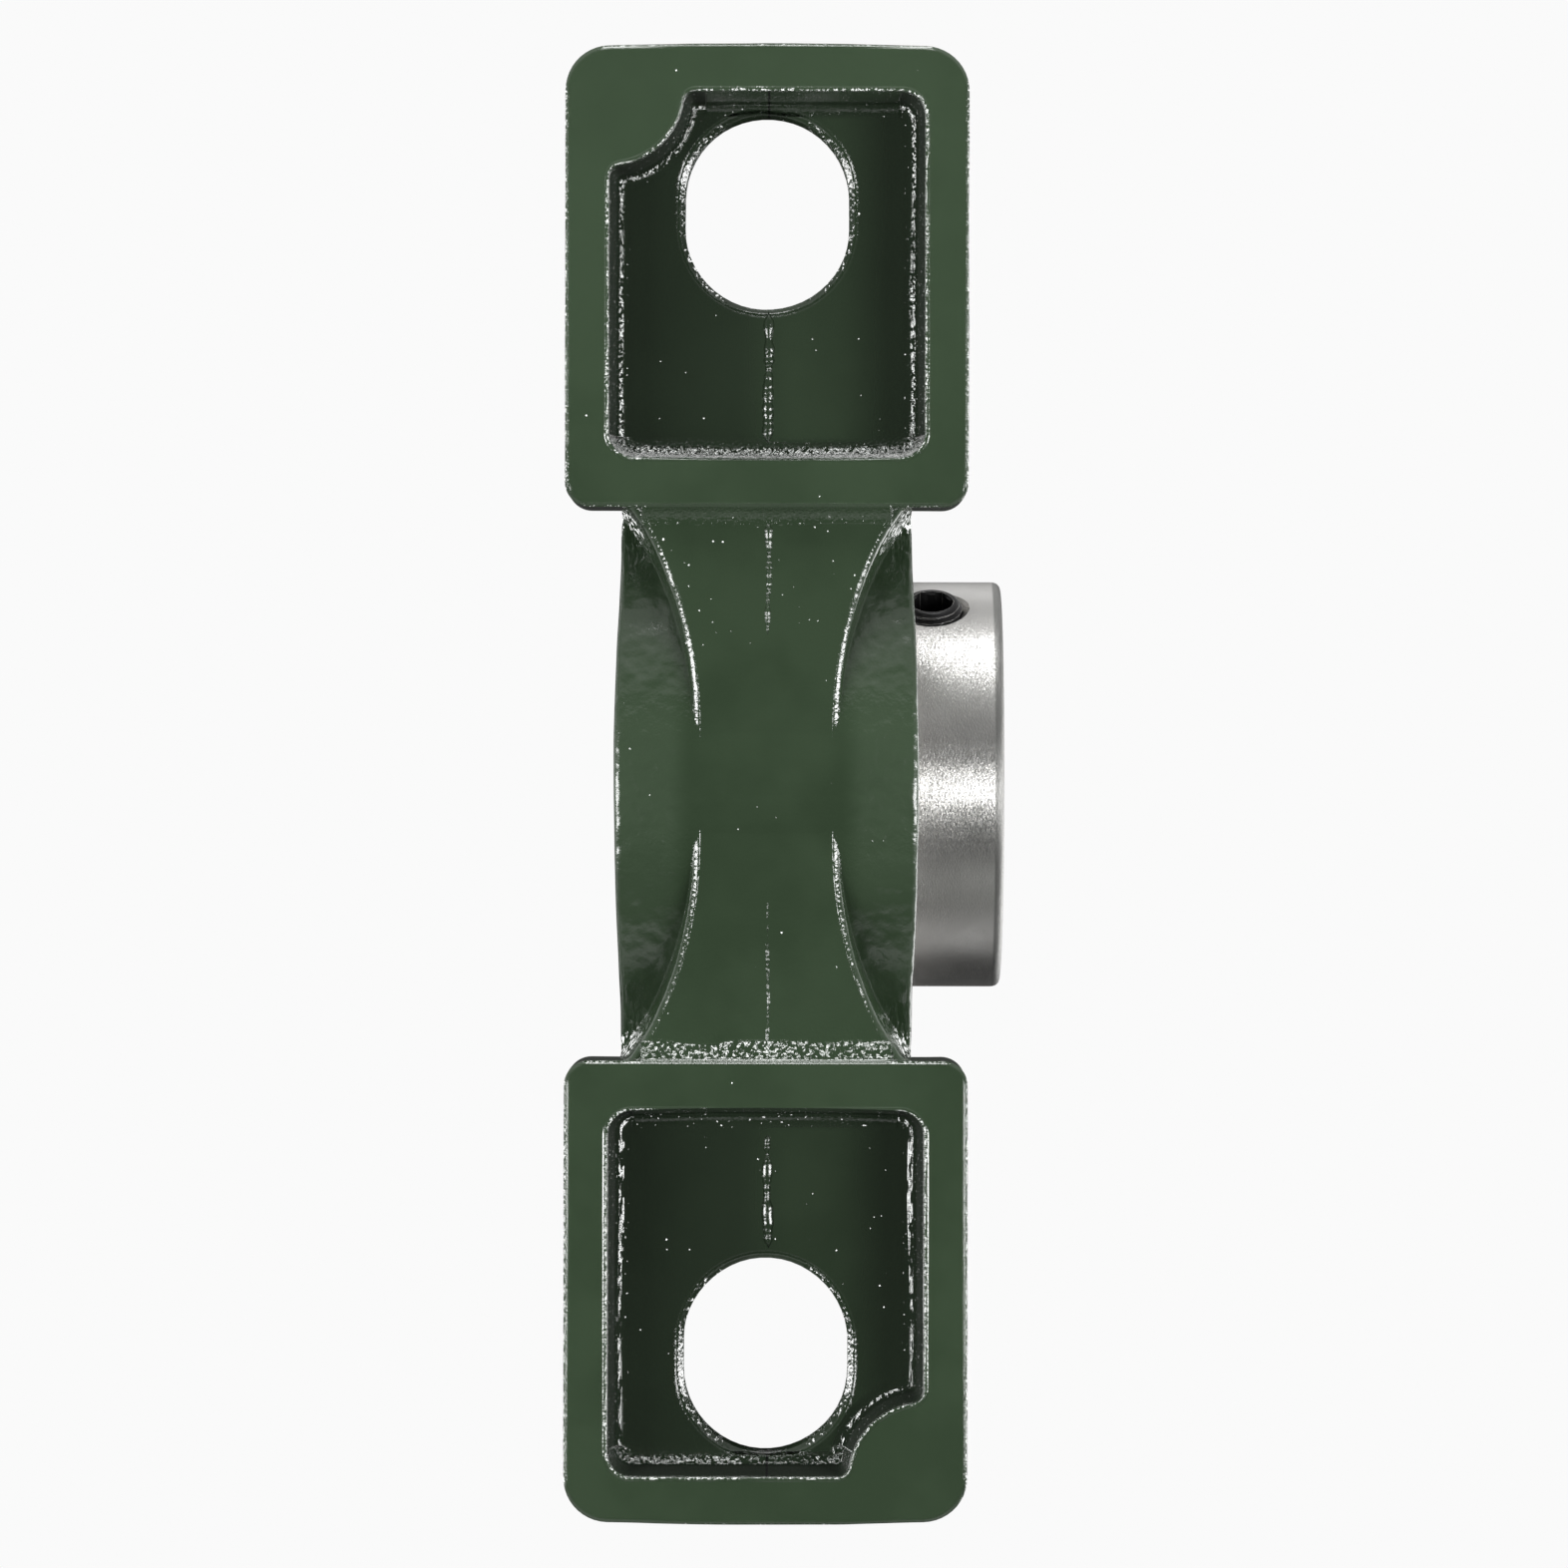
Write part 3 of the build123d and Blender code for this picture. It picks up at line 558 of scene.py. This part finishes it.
crisp(casting, 35.0)
cast_piece = add_piece("housing_casting", casting, enamel, "housing", "green_paint", "housing")
flats = cast_piece.modifiers.new("flats_stay_flat", "WEIGHTED_NORMAL")
flats.keep_sharp = True


# The parting line: where the halves of the sand mould met, the iron ran into the gap and left a low ridge
# along the middle of the underside. It was broken off but never ground, and the enamel beads on it.
def grid_mesh(name, points, closed_v=False, cap_ends=False):
    """Mesh of quads over a grid of points [u, v, xyz], joined round u, and round v where that closes."""
    rows, columns = points.shape[:2]
    numbers = np.arange(rows * columns).reshape(rows, columns)
    joined = np.vstack([numbers, numbers[:1]])
    if closed_v:
        joined = np.hstack([joined, joined[:, :1]])
    quads = np.stack([joined[:-1, :-1], joined[1:, :-1], joined[1:, 1:], joined[:-1, 1:]], axis=-1)
    faces = quads.reshape(-1, 4).tolist()
    if cap_ends:
        faces += [numbers[:, 0].tolist(), numbers[::-1, -1].tolist()]
    mesh = bpy.data.meshes.new(name)
    mesh.from_pydata(points.reshape(-1, 3).tolist(), [], faces)
    shape = bmesh.new()
    shape.from_mesh(mesh)
    bmesh.ops.recalc_face_normals(shape, faces=shape.faces)
    shape.to_mesh(mesh)
    shape.free()
    return mesh


def ridge(name, x_from, x_to, face, half_width, height, gaps):
    """A trapezium section carried along X: its corners are at half_width * swell * (-1, -0.3, 0.3, 1) and
    stand height * swell * (0, 1, 1, 0) off the face; swell is a sum of cosines less the gaps, so the ridge
    comes and goes. A second, slower sum of cosines makes it wander across the face."""
    along = np.arange(x_from, x_to, 0.1 * mm)
    line = np.stack([along, 0.0 * along, 0.0 * along + face], axis=-1)
    swell = 0.95 + 0.35 * ripples(line, 3.5 * mm) + 0.22 * ripples(line, 0.9 * mm) - gaps
    swell = np.clip(swell, 0.02, 1.2)
    swell *= smooth(along, x_from, x_from + 1.5 * mm) * smooth(along, x_to, x_to - 1.5 * mm)
    middle = parting_y + 0.10 * mm * ripples(line, 9 * mm) + 0.05 * mm * ripples(line, 2 * mm)
    corners = np.array([(-1.0, 0.0), (-0.3, 1.0), (0.3, 1.0), (1.0, 0.0), (0.9, -0.3), (-0.9, -0.3)])
    across = middle + half_width * swell * corners[:, :1]
    points = np.stack([along + 0.0 * across, across, face - height * swell * corners[:, 1:]], axis=-1)
    return grid_mesh(name, points, cap_ends=True)


web_face = base_z + web_depth * mm
hollow_floor = base_z + hollow_depth * mm
# name: start and end along X in mm, the face that it stands on, half width and height in mm, gaps
parting_runs = {
    "parting_web_head": (-33.4, -18.0, web_face, 0.46, 0.15, 0.35),
    "parting_web_tail": (13.7, 33.0, web_face, 0.28, 0.09, 0.25),
    "parting_foot_head": (-59.3, -42.5, hollow_floor, 0.60, 0.21, -0.15),
    "parting_foot_tail": (43.5, 58.3, hollow_floor, 0.60, 0.21, -0.15),
}
for name, (x_from, x_to, face, half_width, tall, gaps) in parting_runs.items():
    run = ridge(name, x_from * mm, x_to * mm, face, half_width * mm, tall * mm, gaps)
    add_piece(name, crisp(run, 25.0), enamel, "housing", "green_paint")


# The inner ring: through-hardened bearing steel, ground all over, its long side drilled and tapped
# for the two set screws. It turns with the shaft inside the balls.
def rounded(corners, radii, steps):
    """A closed outline with each corner swapped for a curve: the quadratic through its two cut points."""
    outline = []
    for i, (corner, radius) in enumerate(zip(corners, radii)):
        here = np.array(corner, float)
        before = np.array(corners[i - 1], float) - here
        after = np.array(corners[(i + 1) % len(corners)], float) - here
        start = here + before / np.linalg.norm(before) * radius
        end = here + after / np.linalg.norm(after) * radius
        for t in np.linspace(0.0, 1.0, steps):
            outline.append((1 - t) ** 2 * start + 2 * t * (1 - t) * here + t * t * end)
    return np.array(outline)


def lathe(name, section, turns):
    """Closed section of (radius, axial) points carried round the shaft axis."""
    angle = np.linspace(0.0, 2.0 * math.pi, turns, endpoint=False)[:, None]
    radius, axial = section[None, :, 0], section[None, :, 1]
    points = np.stack([radius * np.cos(angle), axial + 0.0 * angle, radius * np.sin(angle)], axis=-1)
    return grid_mesh(name, points, closed_v=True)


def stand_radial(points, degrees, axial):
    """Turns points that stand on local Z so that Z points outwards at an angle round the shaft."""
    angle = math.radians(degrees)
    outward = np.array([math.cos(angle), 0.0, math.sin(angle)])
    round_ring = np.array([-math.sin(angle), 0.0, math.cos(angle)])
    along_shaft = np.array([0.0, 1.0, 0.0])
    points = points[..., :1] * along_shaft + points[..., 1:2] * round_ring + points[..., 2:] * outward
    return points + along_shaft * axial


def stacked_circles(radii, heights, turns):
    """Points of circles stacked on local Z: one circle for each radius and height."""
    angle = np.linspace(0.0, 2.0 * math.pi, turns, endpoint=False)[:, None]
    radius, height = np.asarray(radii)[None, :], np.asarray(heights)[None, :]
    return np.stack([radius * np.cos(angle), radius * np.sin(angle), height + 0.0 * angle], axis=-1)


def applied(piece):
    """The piece's mesh with its modifiers applied."""
    bpy.context.scene.collection.objects.link(piece)
    graph = bpy.context.evaluated_depsgraph_get()
    mesh = bpy.data.meshes.new_from_object(piece.evaluated_get(graph))
    bpy.context.scene.collection.objects.unlink(piece)
    return mesh


ring_low, ring_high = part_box("inner_ring")
ring_r = (ring_high.x - ring_low.x) / 2
bore_r = 20.0 * mm
front_y, back_y = ring_low.y, ring_high.y
front_round, other_round = 1.25 * mm, 0.7 * mm
groove_depth, groove_half = 2.28 * mm, 4.8 * mm      # the balls' groove, its section a parabola
share = np.linspace(-1.0, 1.0, 13)
groove = np.stack([ring_r - groove_depth * (1 - share ** 2), share * groove_half], axis=-1)
outside = [(ring_r, front_y), (bore_r, front_y), (bore_r, back_y), (ring_r, back_y)]
outside = rounded(outside, [front_round, other_round, other_round, other_round], steps=7)
collar = lathe("inner_ring_ground", np.vstack([outside, groove[::-1]]), 288)

screw_plane = -21.1 * mm
screw_r = 4.0 * mm
screw_directions = {"set_screw_top": 90.0, "set_screw_low": 210.0}
hole_r, sink_r = screw_r * 1.02, 5.3 * mm            # each tapped hole and its countersink
hole_radii = [hole_r, hole_r, sink_r, sink_r]
hole_heights = [bore_r - 2 * mm, ring_r - 0.75 * mm, ring_r + 0.4 * mm, ring_r + 3 * mm]
ring_piece = bpy.data.objects.new("ring_blank", collar)
drills = []
for name, degrees in screw_directions.items():
    points = stand_radial(stacked_circles(hole_radii, hole_heights, 72), degrees, screw_plane)
    drill = bpy.data.objects.new(name + "_drill", grid_mesh(name + "_drill", points, cap_ends=True))
    bpy.context.scene.collection.objects.link(drill)
    drills.append(drill)
    cut = ring_piece.modifiers.new(name, "BOOLEAN")
    cut.operation, cut.object, cut.solver = "DIFFERENCE", drill, "EXACT"
collar = applied(ring_piece)
for drill in drills:
    bpy.data.objects.remove(drill)

# Scratches run round the shaft, as the grinding wheel left them. The rounded front edge is only turned,
# so it is darker and duller than the ground faces.
ground, steel = new_material("ground_steel")
place = steel.node("ShaderNodeTexCoord", None, None, "Object")
across, along, upright = steel.parts(place)
radius = hypotenuse(across, upright)
drawn_round = [across * 0.12, along + radius * 0.8, upright * 0.12]
scratches = steel.noise(steel.node("ShaderNodeCombineXYZ", None, drawn_round), 20000.0, 0.0)
clouds = steel.noise(place, 160.0, 2.0)
turned_edge = radius.step(ring_r - 1.3 * mm, ring_r - 1.1 * mm)
turned_edge = turned_edge * along.fade(front_y + 1.0 * mm, front_y + 1.3 * mm)
colour = steel.blend_colour(clouds.step(0.35, 0.7), (0.66, 0.65, 0.63, 1), (0.73, 0.72, 0.70, 1))
colour = steel.blend_colour(turned_edge, colour, (0.30, 0.30, 0.29, 1))
normal = steel.bump(scratches * 0.034)
surface(steel, Base_Color=colour, Metallic=1.0, Roughness=0.31 + turned_edge * 0.09, Normal=normal)
add_piece("inner_ring_ground", crisp(collar), ground, "inner_ring", "ground_steel", "inner_ring")


# The set screws: two M8 fine-thread socket screws in oiled black oxide, one at the crown of the collar
# and one 120 degrees round from it. Each stands about a millimetre proud, its cup point just off the shaft.
screw_low, screw_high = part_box("set_screw_top")
screw_length = screw_high.z - screw_low.z
pitch = 1.0 * mm
crest = screw_r - 0.05 * mm
thread_depth = 0.55 * mm
socket_half, socket_depth = 2.5 * mm, 3.6 * mm       # half the hexagon's width over flats


def screw_points(turns=144, rows_to_pitch=14):
    """Rows up the thread, over the chamfer and rim, then down the hexagon socket to its drilled floor.
    Thread: radius = crest - depth * |2 * frac(z / pitch - angle / turn) - 1| ** 1.1."""
    angle = np.linspace(0.0, 2.0 * math.pi, turns, endpoint=False)[:, None]
    rows = int(screw_length / pitch * rows_to_pitch)
    rise = np.linspace(0.55 * mm, screw_length - 0.1 * mm, rows)[None, :]
    phase = np.mod(rise / pitch - angle / (2.0 * math.pi), 1.0)
    thread = crest - thread_depth * np.abs(2.0 * phase - 1.0) ** 1.1
    top_taper = crest - 0.75 * mm + (screw_length - rise) * 1.1
    foot_taper = 2.6 * mm + rise * 1.1
    thread = np.minimum(thread, np.minimum(top_taper, foot_taper))
    hexagon = socket_half / np.cos(np.mod(angle, math.pi / 3.0) - math.pi / 6.0)
    lead = np.maximum(hexagon, socket_half + 0.28 * mm)
    top, bed = screw_length, screw_length - socket_depth
    profile = [
        (1.1 * mm, 0.7 * mm), (2.4 * mm, 0.02 * mm), (thread, rise), (crest - 0.85 * mm, top),
        (lead, top - 0.02 * mm), (hexagon, top - 0.35 * mm), (hexagon, bed), (1.9 * mm, bed),
        (0.0001 * mm, bed - 0.9 * mm),
    ]
    around = 1.0 + 0.0 * angle
    radius = np.hstack([around * radius for radius, _ in profile])
    height = np.hstack([around * height for _, height in profile])
    return np.stack([radius * np.cos(angle), radius * np.sin(angle), height + screw_low.z], axis=-1)


# The oxide is rubbed bright where the rounded normal parts from the face's own, which is at the edges
black, oxide = new_material("black_oxide")
place = oxide.node("ShaderNodeTexCoord", None, None, "Object")
mottle = oxide.noise(place, 900.0, 3.0)
face_normal = oxide.node("ShaderNodeNewGeometry", None, None, "Normal")
eased = oxide.node("ShaderNodeBevel", {"samples": 6}, {"Radius": 0.16 * mm})
both = {0: face_normal, 1: eased}
likeness = oxide.node("ShaderNodeVectorMath", {"operation": "DOT_PRODUCT"}, both, "Value")
rubbed = likeness.fade(0.86, 0.98)
colour = oxide.blend_colour(mottle, (0.012, 0.012, 0.013, 1), (0.03, 0.03, 0.03, 1))
colour = oxide.blend_colour(rubbed, colour, (0.60, 0.59, 0.57, 1))
normal = oxide.bump(oxide.noise(place, 4000.0, 2.0), 0.3, 0.03 * mm)
surface(oxide, Base_Color=colour, Metallic=0.6, Roughness=0.3 + mottle * 0.15, Normal=normal)
for name, degrees in screw_directions.items():
    points = stand_radial(screw_points(), degrees, screw_plane)
    screw = crisp(grid_mesh(name, points, cap_ends=True), 35.0)
    add_piece(name + "_threaded", screw, black, name, "black_oxide", name)


# The outer ring: bearing steel ground outside to a sphere that sits in the housing. Only its end faces show,
# as a band between the housing's mouth and the flinger. The lock pin is a plain steel pin in the seat.
def dress(material, *nodes):
    """Gives CAD nodes a material."""
    for node in nodes:
        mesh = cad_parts[node].data
        mesh.materials.clear()
        mesh.materials.append(material)


dress(ground, "outer_ring", "lock_pin")


# The balls: nine of hardened chrome steel, lapped until they shine and held apart by the cage. The grease
# nipple's check ball is a smaller one of the same kind.
def grained(name, grains, detail, dark, light, rough, metallic=1.0, bumps=0.0):
    """A finish whose colour, roughness and any bumps follow one noise, with so many grains to the metre."""
    material, finish = new_material(name)
    grain = finish.noise(finish.node("ShaderNodeTexCoord", None, None, "Object"), grains, detail)
    colour = finish.blend_colour(grain, dark, light)
    normal = finish.bump(grain, bumps, 0.02 * mm) if bumps else None
    roughness = rough[0] + grain * rough[1]
    surface(finish, Base_Color=colour, Metallic=metallic, Roughness=roughness, Normal=normal)
    return material


lapped = grained("lapped_steel", 500.0, 3.0, (0.68, 0.68, 0.67, 1), (0.76, 0.76, 0.75, 1), (0.06, 0.06))
balls = [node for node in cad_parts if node.startswith("ball_")]
dress(lapped, *balls, "nipple_ball")

# The cage: two ribbons pressed from mild steel sheet, with a pocket for each ball, riveted together between
# the pockets. The seals' washers are pressed from such sheet too, and the nipple's spring is as dull.
dark, light = (0.42, 0.42, 0.41, 1), (0.52, 0.52, 0.51, 1)
pressed = grained("pressed_steel", 1400.0, 3.0, dark, light, (0.3, 0.15), bumps=0.2)
dress(pressed, "cage_front", "cage_back", "cage_rivets", "seal_core_front", "seal_core_back", "nipple_spring")

# The seals: nitrile rubber moulded on the washers, one at each end of the outer ring, with their lips on
# the inner ring.
dark, light = (0.014, 0.014, 0.014, 1), (0.03, 0.03, 0.03, 1)
nitrile = grained("nitrile_rubber", 600.0, 3.0, dark, light, (0.5, 0.2), metallic=0.0)
dress(nitrile, "seal_front", "seal_back")

# The flingers: thin rings pressed from sheet and zinc plated, a tight fit on the inner ring outside the
# seals. The grease nipple is turned from steel, plated the same, and screwed into the crown of the ring.
dark, light = (0.55, 0.56, 0.57, 1), (0.66, 0.67, 0.68, 1)
zinc = grained("zinc_plate", 800.0, 2.0, dark, light, (0.2, 0.15), bumps=0.15)
dress(zinc, "flinger_front", "flinger_back", "nipple_body")
